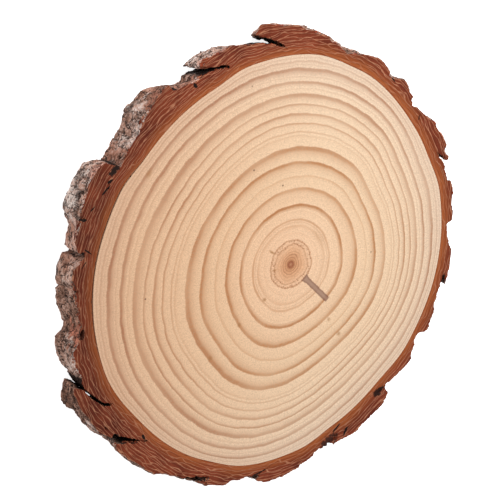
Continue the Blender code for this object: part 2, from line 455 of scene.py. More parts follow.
class Fleck(NamedTuple):
    """A small dark mark in the wood: where it lies from the pith, and its size."""

    towards: float
    distance: float
    length: float
    width: float
    strength: float


FLECKS = (
    Fleck(149, 18.5, 6.6, 1.9, 0.8), Fleck(192, 13.0, 4.4, 1.6, 0.7), Fleck(230, 28.5, 3.6, 3.0, 0.7),
    Fleck(225, 52.0, 3.4, 3.2, 0.6), Fleck(311, 53.5, 3.6, 3.0, 0.5), Fleck(311, 67.5, 3.6, 3.4, 0.6),
    Fleck(225, 81.0, 3.6, 3.6, 0.6), Fleck(149, 140.0, 4.6, 6.5, 0.5), Fleck(38, 26.5, 7.5, 20.0, 0.18),
)

DOTS = (
    Fleck(119, 76.0, 1.5, 1.4, 0.9), Fleck(103, 55.5, 1.5, 1.4, 0.9), Fleck(186, 114.0, 1.6, 1.5, 0.9),
    Fleck(2, 64.0, 1.4, 1.3, 0.6), Fleck(110, 131.0, 1.4, 1.3, 0.7),
)


@dataclass(frozen=True)
class SandedPine:
    """Pine, cross cut and sanded.

    To the eye: cream early wood and tan late wood in rings, each ring sharp outside and fading
    inwards, redder at the heart and pinker by the rim, with a dull satin surface.
    """

    pith: tuple[float, float]
    early_colours: tuple[tuple[float, str], ...] = (
        (0.0, "#C08864"), (2.0, "#98583A"), (3.0, "#C08860"), (4.0, "#D69E74"), (10.0, "#E4B28A"),
        (17.0, "#F0C8A4"), (60.0, "#EDCBA7"), (110.0, "#EED0B0"), (135.0, "#E4C8AE"),
    )
    late_colours: tuple[tuple[float, str], ...] = (
        (0.0, "#84462A"), (20.0, "#B27547"), (60.0, "#BC8253"), (135.0, "#AE7E62"),
    )
    branch_colour: str = "#9E7A68"
    branch_edge_colour: str = "#7C5240"
    fleck_colour: str = "#A5713F"
    dot_colour: str = "#54331F"
    # Multiplies the wood towards -X: a redder tone of its own, with painted shade that darkens that side
    redder_shaded_side: str = "#F2E1D4"
    roughness: float = 0.52
    ior: float = 1.5
    specular: float = 0.35
    # Late wood darkens slowly at first, then faster, and stops within less than a millimetre.
    # These are its shares of the full darkness, and how far along the second of them comes.
    late_shares: tuple[float, ...] = (0.17, 0.48, 0.94, 1.0, 0.0)
    second_share_at: float = 0.65
    half_edge: float = 0.35
    stop_gap: float = 0.1
    # Rings bend a little every ten millimetres or so, and crinkle finely on top of that
    ring_bend: float = 10.0
    ring_bend_height: float = 0.8
    crinkle: float = 1.9
    crinkle_height: float = 0.3
    heart_crinkle: float = 2.8
    heart_ages: tuple[float, float] = (20.0, 12.0)
    calm_pith_ages: tuple[float, float] = (2.0, 9.0)
    calm_pith: float = 0.1
    # Fine dark dots between the two outlines of the heart
    resin_from: float = 12.2
    resin_to: float = 17.4
    resin_gap: float = 1.3
    resin_dot: tuple[float, float] = (0.5, 0.25)
    resin_amount: float = 1.0
    resin_colour: str = "#9C6240"
    # Rays are thin streaks across the rings: how many steps round the trunk, and how long each runs
    ray_steps: float = 150.0
    ray_along: float = 0.2
    fibre_height: float = 0.15
    # Each ring is stronger on one side of the trunk than on another
    side_steps: float = 1.7
    side_along: float = 1.0 / 8.0
    side_strength: tuple[float, float] = (0.75, 1.35)
    # Pores, drawn coarser than pine's own so that they show in a picture of the whole slice
    grain: float = 0.85
    pore_strength: tuple[float, float] = (0.55, 1.5)
    ray_share: float = 0.12
    shade_from: tuple[float, float] = (0.38, 0.79)
    shade_to: tuple[float, float] = (0.82, 1.27)
    # Along X, where that redder tone and painted shade begin and where they are full
    redder_shaded_between: tuple[float, float] = (40.0, -110.0)
    branch_towards: float = 320.5
    branch_from: float = 15.5
    branch_to: float = 42.0
    branch_width: float = 3.9
    branch_flare: float = 0.7
    branch_flare_length: float = 4.0
    branch_strength: float = 0.85
    # The marks' edges wander by up to half of this
    mark_wander: float = 0.8

    def ring_stops(self, ring: Ring, after: float) -> list[tuple[float, float]]:
        """The ramp stops that draw one ring.

        Args:
            ring: the ring.
            after: the age of the stop before it.

        Returns:
            An age and a darkness for each stop, in order.
        """
        begin = max(ring.age - ring.fade, after + self.stop_gap)
        body = max(ring.age - ring.body, begin + self.stop_gap)
        second = begin + (body - begin) * self.second_share_at
        places = (begin, second, body, ring.age - self.half_edge, ring.age + self.half_edge)
        return [(place, share * ring.strength) for place, share in zip(places, self.late_shares)]

    def late_wood(self, tree: Tree, age: Socket) -> Socket:
        """How much of the surface is late wood, from a few ramps over the ring age.

        Args:
            tree: the material's node tree.
            age: the mean distance from the pith, in millimetres.

        Returns:
            A value from 0 to 1.
        """
        total, start = None, 0.0
        for first in range(0, len(RINGS), RINGS_A_RAMP):
            rings = RINGS[first:first + RINGS_A_RAMP]
            end = rings[-1].age + PAST_LAST_RING
            stops = [(start, 0.0)]
            for ring in rings:
                stops += self.ring_stops(ring, stops[-1][0])
            ramp = colour_ramp(tree, rescale(tree, age, (start, end)),
                               [((place - start) / (end - start), grey(value)) for place, value in stops])
            total = ramp if total is None else maths(tree, "ADD", total, ramp)
            start = end
        return total

    def by_age(self, tree: Tree, age: Socket, colours: tuple[tuple[float, str], ...]) -> Socket:
        """A colour that changes slowly from the pith to the rim.

        Args:
            tree: the material's node tree.
            age: the mean distance from the pith.
            colours: an age and a colour for each stop.

        Returns:
            The colour.
        """
        return colour_ramp(tree, maths(tree, "DIVIDE", age, RIM_AGE),
                           [(place / RIM_AGE, linear(colour)) for place, colour in colours])

    def place(self, towards: float, distance: float) -> tuple[float, float, float]:
        """The place that lies so far from the pith in a direction."""
        angle = math.radians(towards)
        return (self.pith[0] + distance * math.cos(angle), self.pith[1] + distance * math.sin(angle), 0.0)

    def streaks(self, tree: Tree, spot: Socket, age: Socket, steps: float, along: float) -> Socket:
        """A noise that runs round the trunk and out from the pith.

        Args:
            tree: the material's node tree.
            spot: the place on the disc, in millimetres.
            age: the mean distance from the pith.
            steps: how finely it changes round the trunk.
            along: how finely it changes outwards.

        Returns:
            A value about 0.5.
        """
        from_pith = vector_maths(tree, "SUBTRACT", spot, (*self.pith, 0.0))
        heading = vector_maths(tree, "NORMALIZE", vector_maths(tree, "MULTIPLY", from_pith, (1.0, 1.0, 0.0)))
        climb = add_node(tree, "ShaderNodeCombineXYZ", {2: maths(tree, "MULTIPLY", age, along)}).outputs[0]
        place = vector_maths(tree, "ADD", scaled(tree, heading, steps), climb)
        return noise_node(tree, place, 1.0, 1.0).outputs[0]

    def bent_age(self, tree: Tree, flat: Socket, age: Socket, crinkle: Socket, rays: Socket) -> Socket:
        """The ring age with the small bends and crinkles that make the rings look grown.

        Args:
            tree: the material's node tree.
            flat: the place on the disc, with little change from face to face.
            age: the mean distance from the pith.
            crinkle: a fine noise.
            rays: the radial streaks.

        Returns:
            The bent age.
        """
        bend = noise_node(tree, flat, self.ring_bend, 1.0).outputs[0]
        bent = rescale(tree, bend, new=(-self.ring_bend_height, self.ring_bend_height), clamp=False)
        crinkled = rescale(tree, crinkle, new=(-self.crinkle_height, self.crinkle_height), clamp=False)
        # The heart's own edge is the most crinkled line of all
        heart = rescale(tree, age, self.heart_ages, (1.0, self.heart_crinkle))
        near_pith = rescale(tree, age, self.calm_pith_ages, (self.calm_pith, 1.0))
        drift = maths(tree, "MULTIPLY_ADD", maths(tree, "ADD", bent, crinkled),
                      maths(tree, "MULTIPLY", heart, near_pith), age)
        fibres = rescale(tree, rays, new=(-self.fibre_height, self.fibre_height), clamp=False)
        return maths(tree, "ADD", drift, fibres)

    def resin(self, tree: Tree, flat: Socket, age: Socket, colour: Socket) -> Socket:
        """Fine dots of resin between the two outlines of the heart.

        Args:
            tree: the material's node tree.
            flat: the place on the disc, in millimetres.
            age: the mean distance from the pith.
            colour: the colour without the dots.

        Returns:
            The colour with the dots.
        """
        cells = add_node(tree, "ShaderNodeTexVoronoi", {"Vector": flat, "Scale": 1.0 / self.resin_gap})
        dots = rescale(tree, cells.outputs["Distance"], self.resin_dot)
        begun = rescale(tree, age, (self.resin_from, self.resin_from + 1.0))
        ended = rescale(tree, age, (self.resin_to, self.resin_to - 1.0))
        chosen = maths(tree, "MULTIPLY", cells.outputs["Color"], self.resin_amount)
        amount = maths(tree, "MULTIPLY", maths(tree, "MULTIPLY", dots, chosen),
                       maths(tree, "MULTIPLY", begun, ended))
        return blend(tree, amount, colour, linear(self.resin_colour))

    def branch(self, tree: Tree, spot: Socket, colour: Socket) -> Socket:
        """Draw the branch's mark, a bar that flares towards the pith.

        Args:
            tree: the material's node tree.
            spot: the place on the disc, in millimetres.
            colour: the ringed wood's colour.

        Returns:
            The colour with the mark.
        """
        half, half_width = (self.branch_to - self.branch_from) / 2, self.branch_width / 2
        centre = self.place(self.branch_towards, self.branch_from + half)
        lengthways = turned(tree, vector_maths(tree, "SUBTRACT", spot, centre), self.branch_towards)
        size = split(tree, vector_maths(tree, "ABSOLUTE", lengthways))
        flared = rescale(tree, split(tree, lengthways)[0], (self.branch_flare_length - half, -half),
                         (half_width, half_width + self.branch_flare))
        outside = maths(tree, "MAXIMUM", maths(tree, "SUBTRACT", size[0], half),
                        maths(tree, "SUBTRACT", size[1], flared))
        inside = rescale(tree, outside, (0.35, -0.35))
        core = rescale(tree, outside, (-0.3, -1.4))
        bar = blend(tree, core, linear(self.branch_edge_colour), linear(self.branch_colour))
        return blend(tree, maths(tree, "MULTIPLY", inside, self.branch_strength), colour, bar)

    def marks(self, tree: Tree, colour: Socket, spot: Socket, wander: Socket) -> Socket:
        """Draw the branch's mark and the flecks over the rings.

        Args:
            tree: the material's node tree.
            colour: the ringed wood's colour.
            spot: the place on the disc, in millimetres.
            wander: a noise that roughens the marks' edges.

        Returns:
            The colour with the marks.
        """
        strayed = vector_maths(tree, "MULTIPLY_ADD", wander, (self.mark_wander, self.mark_wander, 0.0), spot)
        strayed = vector_maths(tree, "SUBTRACT", strayed, (self.mark_wander / 2, self.mark_wander / 2, 0.0))
        colour = self.branch(tree, strayed, colour)
        for marks, tint in ((FLECKS, self.fleck_colour), (DOTS, self.dot_colour)):
            for fleck in marks:
                middle = self.place(fleck.towards, fleck.distance)
                from_middle = vector_maths(tree, "SUBTRACT", strayed, middle)
                off = off_oval(tree, from_middle, fleck.towards, fleck.length, fleck.width)
                amount = rescale(tree, off, (1.2, 0.3), (0.0, fleck.strength))
                colour = blend(tree, amount, colour, linear(tint))
        return colour

    def build(self) -> bpy.types.Material:
        """Make the material.

        Returns:
            The material.
        """
        material, tree, shader = new_material("sanded_pine")
        spot = millimetres(tree)
        flat = vector_maths(tree, "MULTIPLY", spot, (1.0, 1.0, 0.12))
        age = stored(tree, "ring_age")
        crinkle = noise_node(tree, flat, self.crinkle, 2.0)
        rays = self.streaks(tree, spot, age, self.ray_steps, self.ray_along)
        drift = self.bent_age(tree, flat, age, crinkle.outputs[0], rays)

        side = self.streaks(tree, spot, age, self.side_steps, self.side_along)
        grain = noise_node(tree, flat, self.grain, 3.0, roughness=0.7).outputs[0]
        patchy = maths(tree, "MULTIPLY", rescale(tree, side, NOISE_SPAN, self.side_strength),
                       rescale(tree, grain, NOISE_SPAN, self.pore_strength))
        late = maths(tree, "MULTIPLY", self.late_wood(tree, drift), patchy, use_clamp=True)
        ringed = blend(tree, late, self.by_age(tree, drift, self.early_colours),
                       self.by_age(tree, drift, self.late_colours))

        texture = maths(tree, "MULTIPLY_ADD", rays, self.ray_share, grain)
        shaded = scaled(tree, ringed, rescale(tree, texture, self.shade_from, self.shade_to))
        dotted = self.resin(tree, flat, drift, shaded)
        # The wood is redder and darker towards -X: partly a redder tone of its own, partly painted shade on
        # that side
        redder = rescale(tree, split(tree, spot)[0], self.redder_shaded_between)
        tint = blend(tree, redder, grey(1.0), linear(self.redder_shaded_side))
        tinted = vector_maths(tree, "MULTIPLY", tint, dotted)
        fill_inputs(tree, shader, {
            "Base Color": self.marks(tree, tinted, spot, crinkle.outputs["Color"]),
            # Late wood is denser, so it takes a slightly better polish
            "Roughness": rescale(tree, late, new=(self.roughness + 0.06, self.roughness - 0.08)),
            "IOR": self.ior,
            "Specular IOR Level": self.specular,
            "Normal": bumped(tree, maths(tree, "MULTIPLY_ADD", late, 0.5, grain), 0.25, 0.08),
        })
        return material


class Crack(NamedTuple):
    """A short crack or a small hollow in the bark's sawn face, drawn as painted shade over the dark bark in
    it.

    Attributes:
        towards: its direction from the disc's middle, in degrees.
        reach: how far past the wood's edge its middle lies.
        length: its length.
        width: its width.
        turn: how far it is turned from the direction that points away from the disc, in degrees.
        colour: what it shows, the dark bark in it with its painted shade.
    """

    towards: float
    reach: float
    length: float
    width: float
    turn: float
    colour: str = "#1C0F0A"


# Painted shade: dark marks for the cracks and hollows in the sawn face, over the dark bark in them
CRACK_SHADES = (
    Crack(150.8, 14.0, 6.0, 10.0, 0, "#2B1A13"),
    Crack(153.5, 12.0, 5.0, 2.4, 60), Crack(120.4, 10.8, 5.0, 2.8, 20), Crack(156, 11.5, 10.0, 1.6, 72),
    Crack(161.5, 16.0, 5.0, 1.4, 60), Crack(164.5, 20.0, 8.0, 2.2, 10), Crack(173, 14.5, 7.0, 3.4, 10),
    Crack(172, 9.0, 7.0, 1.1, -25), Crack(175.6, 10.0, 6.5, 1.0, 60), Crack(182.3, 15.0, 5.5, 2.0, 10),
    Crack(188, 13.0, 4.0, 1.6, 30), Crack(193.5, 12.5, 7.0, 2.8, 75), Crack(231.5, 6.0, 4.5, 2.0, 70),
    Crack(273.8, 6.4, 13.5, 1.2, 105), Crack(295.8, 8.8, 16.0, 9.0, 96, "#45241A"),
    Crack(299.6, 3.6, 8.0, 1.9, 105), Crack(301.6, 10.2, 7.0, 2.1, 127),
    Crack(315.4, 6.2, 13.0, 5.6, 66, "#2E170F"), Crack(38, 6.0, 5.0, 0.8, 50), Crack(53, 8.0, 7.0, 0.9, 80),
)


@dataclass(frozen=True)
class SawnBark:
    """Pine bark, sawn through with the wood.

    To the eye: deep red-brown corky layers, orange-brown next to the wood, thin pale wavy lines
    between the layers that meet at a slant, short cracks with painted shade, dull, slightly grooved.
    """

    middle: tuple[float, float]
    cork_dark: str = "#581F12"
    cork_light: str = "#8E4228"
    inner_colour: str = "#A2562C"
    line_colour: str = "#BF8262"
    dark_line_colour: str = "#521F10"
    roughness: float = 0.8
    specular: float = 0.15
    blotch: float = 16.0
    fine: float = 1.1
    fine_share: float = 0.4
    cork_span: tuple[float, float] = (0.45, 0.95)
    # The inner bark fades into the cork over a few millimetres, at a depth that strays
    inner_depth: float = 3.8
    inner_fade: tuple[float, float] = (4.2, -3.2)
    inner_stray: float = 2.0
    line_width: float = 0.3
    dark_line_strength: float = 0.55
    # The pale lines break off in places, and are calmer in the inner bark
    break_size: float = 4.0
    break_span: tuple[float, float] = (0.32, 0.58)
    break_strength: tuple[float, float] = (0.35, 0.95)
    inner_calm: float = 0.5
    # A crack's edge is ragged by a noise of this size
    ragged: float = 2.4
    ragged_share: float = 1.6
    ragged_edge: tuple[float, float] = (1.85, 1.5)
    # Painted shade darkens the cork on the side away from +X
    painted_shade_from: float = -70.0
    painted_shade_to: float = -135.0
    painted_shade_share: float = 0.74

    def lines(self, tree: Tree, gap: float, wander: float, bend: float, draw: float) -> Socket:
        """Thin lines that run round the trunk, the edges of the layers of cork.

        Args:
            tree: the material's node tree.
            gap: how far apart the lines lie.
            wander: how far a line strays in and out.
            bend: the length of one such stray.
            draw: picks another pattern of lines.

        Returns:
            A value of 1 on a line and 0 between two.
        """
        grain = stored(tree, "bark_grain", "Vector")
        stretch = (1.0 / bend, 1.0 / bend, 2.2 / bend)
        long = vector_maths(tree, "MULTIPLY_ADD", grain, stretch, (0.0, 0.0, draw))
        stray = noise_node(tree, long, 1.0, 1.6).outputs[0]
        strayed = maths(tree, "MULTIPLY_ADD", stray, wander, split(tree, grain)[2])
        place = maths(tree, "PINGPONG", strayed, gap)
        return rescale(tree, place, (self.line_width, 0.15 * self.line_width))

    def in_crack(self, tree: Tree, spot: Socket, reach: Socket, rough: Socket, crack: Crack) -> Socket:
        """One short crack, with a ragged edge.

        Args:
            tree: the material's node tree.
            spot: the place on the slice, in millimetres.
            reach: how far the place lies past the wood's edge.
            rough: a noise that makes the edge ragged.
            crack: which crack.

        Returns:
            A value of 1 in the crack and 0 elsewhere.
        """
        angle = math.radians(crack.towards)
        from_middle = vector_maths(tree, "SUBTRACT", spot, (*self.middle, 0.0))
        side = vector_maths(tree, "DOT_PRODUCT", from_middle, (-math.sin(angle), math.cos(angle), 0.0))
        ahead = vector_maths(tree, "DOT_PRODUCT", from_middle, (math.cos(angle), math.sin(angle), 0.0))
        facing = maths(tree, "GREATER_THAN", ahead, 0.0)
        past = maths(tree, "SUBTRACT", reach, crack.reach)
        place = add_node(tree, "ShaderNodeCombineXYZ", {0: past, 1: side}).outputs[0]
        off = off_oval(tree, place, crack.turn, crack.length, crack.width)
        frayed = maths(tree, "MULTIPLY_ADD", rough, self.ragged_share, off)
        return maths(tree, "MULTIPLY", rescale(tree, frayed, self.ragged_edge), facing)

    def layers(self, tree: Tree, spot: Socket, reach: Socket, fine: Socket) -> tuple[Socket, Socket]:
        """The cork, the inner bark next to the wood, and the lines over them.

        Args:
            tree: the material's node tree.
            spot: the place on the slice, in millimetres.
            reach: how far the place lies past the wood's edge.
            fine: a fine noise.

        Returns:
            The colour, and how strong the pale lines are.
        """
        blotch = noise_node(tree, spot, self.blotch, 2.0).outputs[0]
        mottle = maths(tree, "MULTIPLY_ADD", fine, self.fine_share, blotch)
        cork = blend(tree, rescale(tree, mottle, self.cork_span), linear(self.cork_dark),
                     linear(self.cork_light))
        edge = rescale(tree, blotch, NOISE_SPAN, (-self.inner_stray, self.inner_stray), clamp=False)
        inner = rescale(tree, maths(tree, "ADD", reach, edge), (
            self.inner_depth + self.inner_fade[0], self.inner_depth + self.inner_fade[1]))
        body = blend(tree, inner, cork, linear(self.inner_colour))

        dark = maths(tree, "MULTIPLY", self.lines(tree, 1.3, 4.0, 14.0, 7.0), self.dark_line_strength)
        grooved = blend(tree, dark, body, linear(self.dark_line_colour))
        pale = maths(tree, "MAXIMUM", self.lines(tree, 1.2, 8.0, 16.0, 0.0),
                     self.lines(tree, 1.8, 12.0, 23.0, 31.0))
        broken = noise_node(tree, spot, self.break_size, 2.0).outputs[0]
        kept = rescale(tree, broken, self.break_span, self.break_strength)
        calm = rescale(tree, inner, new=(1.0, self.inner_calm))
        lined = maths(tree, "MULTIPLY", maths(tree, "MULTIPLY", pale, kept), calm)
        return blend(tree, lined, grooved, linear(self.line_colour)), lined

    def build(self) -> bpy.types.Material:
        """Make the material.

        Returns:
            The material.
        """
        material, tree, shader = new_material("sawn_pine_bark")
        spot = millimetres(tree)
        reach = stored(tree, "bark_reach")
        fine = noise_node(tree, spot, self.fine, 3.0).outputs[0]
        colour, lined = self.layers(tree, spot, reach, fine)
        rough = noise_node(tree, spot, self.ragged, 2.0).outputs[0]
        cracks_and_shade = None
        # Each crack paints its shade over the cork
        for crack in CRACK_SHADES:
            inside = self.in_crack(tree, spot, reach, rough, crack)
            colour = blend(tree, inside, colour, linear(crack.colour))
            cracks_and_shade = inside if cracks_and_shade is None else maths(tree, "MAXIMUM", cracks_and_shade, inside)
        # Painted shade: the cork darkens towards -X
        darker = rescale(tree, split(tree, spot)[0], (self.painted_shade_from, self.painted_shade_to),
                         (1.0, self.painted_shade_share))
        height = maths(tree, "MULTIPLY_ADD", fine, 0.6, maths(tree, "SUBTRACT", lined, cracks_and_shade))
        fill_inputs(tree, shader, {
            "Base Color": scaled(tree, colour, darker),
            "Roughness": self.roughness,
            "Specular IOR Level": self.specular,
            "Normal": bumped(tree, height, 0.5, 0.3),
        })
        return material


@dataclass(frozen=True)
class WeatheredBark:
    """Pine bark's outside, weathered on the tree.

    To the eye: thin scales, grey where they are old, pinkish brown where one has come away and
    red where the break is new, dull all over, and near black in the cracks: dark bark with painted shade.
    """

    scale_colours: tuple[tuple[float, str], ...] = (
        (0.0, "#5C3B2D"), (0.25, "#835E4D"), (0.5, "#A27C6B"), (0.75, "#BDA296"), (1.0, "#D2C3BA"),
    )
    fresh_colour: str = "#B5705A"
    crack_shade_colour: str = "#21130E"
    roughness: float = 0.9
    specular: float = 0.15
    fine: float = 1.2
    fine_spread: float = 0.3
    grain: float = 4.5
    patch: float = 9.0
    patch_spread: float = 0.14
    # Where a patch's noise is above this the scale has come away
    bared_span: tuple[float, float] = (0.62, 0.7)
    bared_strength: float = 0.5
    # Fissures follow the middle of one noise, and break off where another is low
    fissure_gap: float = 6.0
    fissure_edge: tuple[float, float] = (0.035, 0.01)
    fissure_kept: tuple[float, float] = (0.42, 0.5)
    pit_gap: float = 2.2
    pit_edge: tuple[float, float] = (0.17, 0.08)
    pit_strength: float = 0.6
    # Painted shadows under the flake edges run round the patches
    flake_shadow_level: float = 0.48
    flake_shadow_edge: tuple[float, float] = (0.035, 0.008)
    flake_shadow_strength: float = 0.9

    def cracks(self, tree: Tree, spot: Socket, grain: bpy.types.Node, patches: Socket) -> Socket:
        """Thin dark fissures, broken off here and there, and small pits, dark bark with painted shade, and
        painted shadows under the flake edges.

        Args:
            tree: the material's node tree.
            spot: the place on the slice, in millimetres.
            grain: a noise that breaks the fissures off and shifts the pits.
            patches: the noise that the painted flake shadows run round.

        Returns:
            A value of 1 in the cracks and painted shadows and 0 elsewhere.
        """
        layered = vector_maths(tree, "MULTIPLY", spot, (1.0, 1.0, 1.7))
        ripple = noise_node(tree, layered, self.fissure_gap, 3.0, distortion=1.0).outputs[0]
        off_line = maths(tree, "ABSOLUTE", maths(tree, "SUBTRACT", ripple, 0.5))
        lines = maths(tree, "MULTIPLY", rescale(tree, off_line, self.fissure_edge),
                      rescale(tree, grain.outputs[0], self.fissure_kept))
        bent = vector_maths(tree, "MULTIPLY_ADD", grain.outputs["Color"], (6.0, 6.0, 4.0), spot)
        pores = add_node(tree, "ShaderNodeTexVoronoi", {"Vector": bent, "Scale": 1.0 / self.pit_gap})
        pits = rescale(tree, pores.outputs["Distance"], self.pit_edge, (0.0, self.pit_strength))
        near = maths(tree, "ABSOLUTE", maths(tree, "SUBTRACT", patches, self.flake_shadow_level))
        flake_shadow = rescale(tree, near, self.flake_shadow_edge, (0.0, self.flake_shadow_strength))
        return maths(tree, "MAXIMUM", maths(tree, "MAXIMUM", lines, pits), flake_shadow)

    def build(self) -> bpy.types.Material:
        """Make the material.

        Returns:
            The material.
        """
        material, tree, shader = new_material("weathered_pine_bark")
        spot = millimetres(tree)
        fine = noise_node(tree, spot, self.fine, 4.0, roughness=0.6).outputs[0]
        grain = noise_node(tree, spot, self.grain, 2.0)
        patches = noise_node(tree, spot, self.patch, 3.0, distortion=0.2)

        # Grey where old, in patches, and finely speckled
        patchy = rescale(tree, patches.outputs[0], NOISE_SPAN, (-self.patch_spread, self.patch_spread),
                         clamp=False)
        speckled = rescale(tree, fine, NOISE_SPAN, (-self.fine_spread, self.fine_spread), clamp=False)
        toned = maths(tree, "ADD", stored(tree, "bark_tone"), maths(tree, "ADD", patchy, speckled))
        scale = colour_ramp(tree, toned, [(place, linear(colour)) for place, colour in self.scale_colours])
        bared = rescale(tree, patches.outputs["Color"], self.bared_span, (0.0, self.bared_strength))
        redness = maths(tree, "MAXIMUM", bared, stored(tree, "bark_fresh"))
        reddened = blend(tree, redness, scale, linear(self.fresh_colour))

        cracks_and_shade = self.cracks(tree, spot, grain, patches.outputs[0])
        # Painted shade deep in the cracks, under the scale edges and on hollow floors, over the cracks' dark
        # bark
        dark = maths(tree, "MAXIMUM", cracks_and_shade, stored(tree, "bark_crevice_shade"), use_clamp=True)
        height = maths(tree, "MULTIPLY_ADD", patches.outputs[0], 1.0, fine)
        fill_inputs(tree, shader, {
            "Base Color": blend(tree, dark, reddened, linear(self.crack_shade_colour)),
            "Roughness": self.roughness,
            "Specular IOR Level": self.specular,
            "Normal": bumped(tree, maths(tree, "SUBTRACT", height, cracks_and_shade), 0.7, 0.5),
        })
        return material


@dataclass(frozen=True)
class StudioPaper:
    """White background paper, lit until it is almost blank."""

    colour: str = "#F4F4F4"
    glow: float = 0.86

    def build(self) -> bpy.types.Material:
        """Make the material.

        Returns:
            The material.
        """
        material, tree, shader = new_material("studio_paper")
        fill_inputs(tree, shader, {
            "Base Color": linear(self.colour), "Roughness": 1.0, "Specular IOR Level": 0.0,
            "Emission Color": grey(1.0), "Emission Strength": self.glow,
        })
        return material


@dataclass
class WoodDisc:
    """The pine disc, sanded on both faces."""

    outline: Outline
    pith: tuple[float, float] = (21.0, -8.2)
    sectors: int = 288
    ring_step: float = 2.0
    # Past this age the rings' middles move away from the pith, by a share of the ages beyond it
    round_until: float = 57.0
    lean: float = 0.25
    lean_towards: float = 165.0
    # Past this age the rings take the shape of the wood's edge
    edge_from: float = 124.0

    def blank(self) -> bpy.types.Object:
        """A round blank about the pith, with rings of points on both faces.

        Returns:
            The blank, as wide as the mean of the wood's outline.
        """
        deselect_all()
        bpy.ops.mesh.primitive_cylinder_add(
            vertices=self.sectors, radius=RIM_AGE * MM, depth=self.outline.thickness * MM,
            end_fill_type="NGON", location=(0.0, 0.0, self.outline.thickness * MM / 2))
        disc = bpy.context.active_object
        disc.name = "wood_disc"
        bpy.ops.object.transform_apply(location=True, rotation=False, scale=False)
        bpy.ops.object.mode_set(mode="EDIT")
        bpy.ops.mesh.select_mode(type="FACE")
        bpy.ops.mesh.select_all(action="DESELECT")
        bpy.ops.object.mode_set(mode="OBJECT")
        for face in disc.data.polygons:
            face.select = abs(face.normal.z) > 0.9
        bpy.ops.object.mode_set(mode="EDIT")
        steps = int((RIM_AGE - self.ring_step / 2) / self.ring_step)
        for _ in range(steps):
            bpy.ops.mesh.inset(thickness=self.ring_step * MM, use_individual=True)
        bpy.ops.mesh.poke()
        bpy.ops.object.mode_set(mode="OBJECT")
        return disc

    def leaning(self, ages: np.ndarray, degrees: np.ndarray) -> np.ndarray:
        """How far from the pith the leaning circles lie.

        Args:
            ages: the circles' radii.
            degrees: directions from the pith.

        Returns:
            A distance for each.
        """
        offset = self.lean * np.maximum(ages - self.round_until, 0.0)
        turn = np.radians(turn_apart(degrees, self.lean_towards))
        return offset * np.cos(turn) + np.sqrt(np.maximum(ages ** 2 - (offset * np.sin(turn)) ** 2, 0.0))

    def bulge(self, ages: np.ndarray, degrees: np.ndarray) -> np.ndarray:
        """How far the rings bulge past the leaning circles.

        Args:
            ages: the rings' mean radii.
            degrees: directions from the pith.

        Returns:
            A distance for each.
        """
        total = np.zeros(len(ages))
        for bulge in BULGES:
            aside = np.clip(np.abs(turn_apart(degrees, bulge.towards)) / bulge.spread, 0.0, 1.0)
            share = np.clip((ages - bulge.begins) / (bulge.full - bulge.begins), 0.0, 1.0)
            total += bulge.height * share * np.cos(aside * math.pi / 2) ** 2
        return total

    def ring_reach(self, ages: np.ndarray, degrees: np.ndarray) -> np.ndarray:
        """How far from the pith a ring lies.

        Args:
            ages: the rings' mean radii.
            degrees: directions from the pith.

        Returns:
            A distance for each.
        """
        rim = np.full(len(ages), RIM_AGE)
        edge = self.outline.reach_from(np.array(self.pith), degrees)
        short = edge - self.leaning(rim, degrees) - self.bulge(rim, degrees)
        share = np.clip((ages - self.edge_from) / (RIM_AGE - self.edge_from), 0.0, 1.0)
        return self.leaning(ages, degrees) + self.bulge(ages, degrees) + short * share

    def grow(self, disc: bpy.types.Object) -> None:
        """Bend the blank's rings to the trunk's growth, and store each point's age.

        Args:
            disc: the blank.
        """
        points = points_of(disc.data)
        ages = np.hypot(points[:, 0], points[:, 1])
        degrees = np.degrees(np.arctan2(points[:, 1], points[:, 0]))
        reach = self.ring_reach(np.minimum(ages, RIM_AGE), degrees)
        reach[ages < self.ring_step / 4] = 0.0
        points[:, 0] = self.pith[0] + reach * np.cos(np.radians(degrees))
        points[:, 1] = self.pith[1] + reach * np.sin(np.radians(degrees))
        points[:, 2] = np.clip(points[:, 2], 0.0, self.outline.thickness)
        move_points(disc.data, points)
        keep_on_mesh(disc.data, "ring_age", ages)

    def build(self) -> bpy.types.Object:
        """Make and dress the disc.

        Returns:
            The disc.
        """
        disc = self.blank()
        self.grow(disc)
        pick(disc)
        bpy.ops.object.shade_smooth_by_angle(angle=math.radians(35.0))
        disc.data.materials.append(SandedPine(pith=self.pith).build())
        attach(disc, "root")
        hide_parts("wood")
        return disc


class BarkSide(Enum):
    """Which finish a face of the bark takes, as its material's place in the list."""

    SAWN = 0
    WEATHERED = 1


class Plate(NamedTuple):
    """How a stretch of the bark's outside looks.

    Attributes:
        start: where it begins round the trunk, in degrees.
        end: where it ends.
        tone: from 0, brown, to 1, grey.
        fresh: how red it is from a new break, from 0 to 1.
        fresh_above: the height above which that break shows.
        rough: how scaly it is, from 0 to 1.
    """

    start: float
    end: float
    tone: float
    fresh: float
    fresh_above: float
    rough: float


PLATE_LOOKS = (
    Plate(100, 112, 0.62, 0.5, 13, 0.8), Plate(112, 120, 0.68, 0.3, 14, 0.9),
    Plate(120, 132, 0.28, 0.3, 9, 0.5), Plate(132, 145, 0.64, 0.0, 0, 1.0),
    Plate(145, 151, 0.42, 0.2, 0, 0.5), Plate(151, 156, 0.62, 0.5, 14, 0.8),
    Plate(156, 166, 0.70, 0.0, 0, 0.9), Plate(166, 177, 0.5, 0.15, 0, 0.4),
    Plate(177, 186, 0.5, 0.0, 0, 0.4), Plate(186, 191, 0.36, 0.0, 0, 0.8),
    Plate(191, 196, 0.42, 0.85, 9, 0.6), Plate(196, 205, 0.55, 0.0, 0, 0.6),
    Plate(205, 218, 0.25, 0.0, 0, 0.9), Plate(218, 228, 0.6, 0.0, 0, 0.7),
    Plate(228, 250, 0.5, 0.0, 0, 0.6),
)


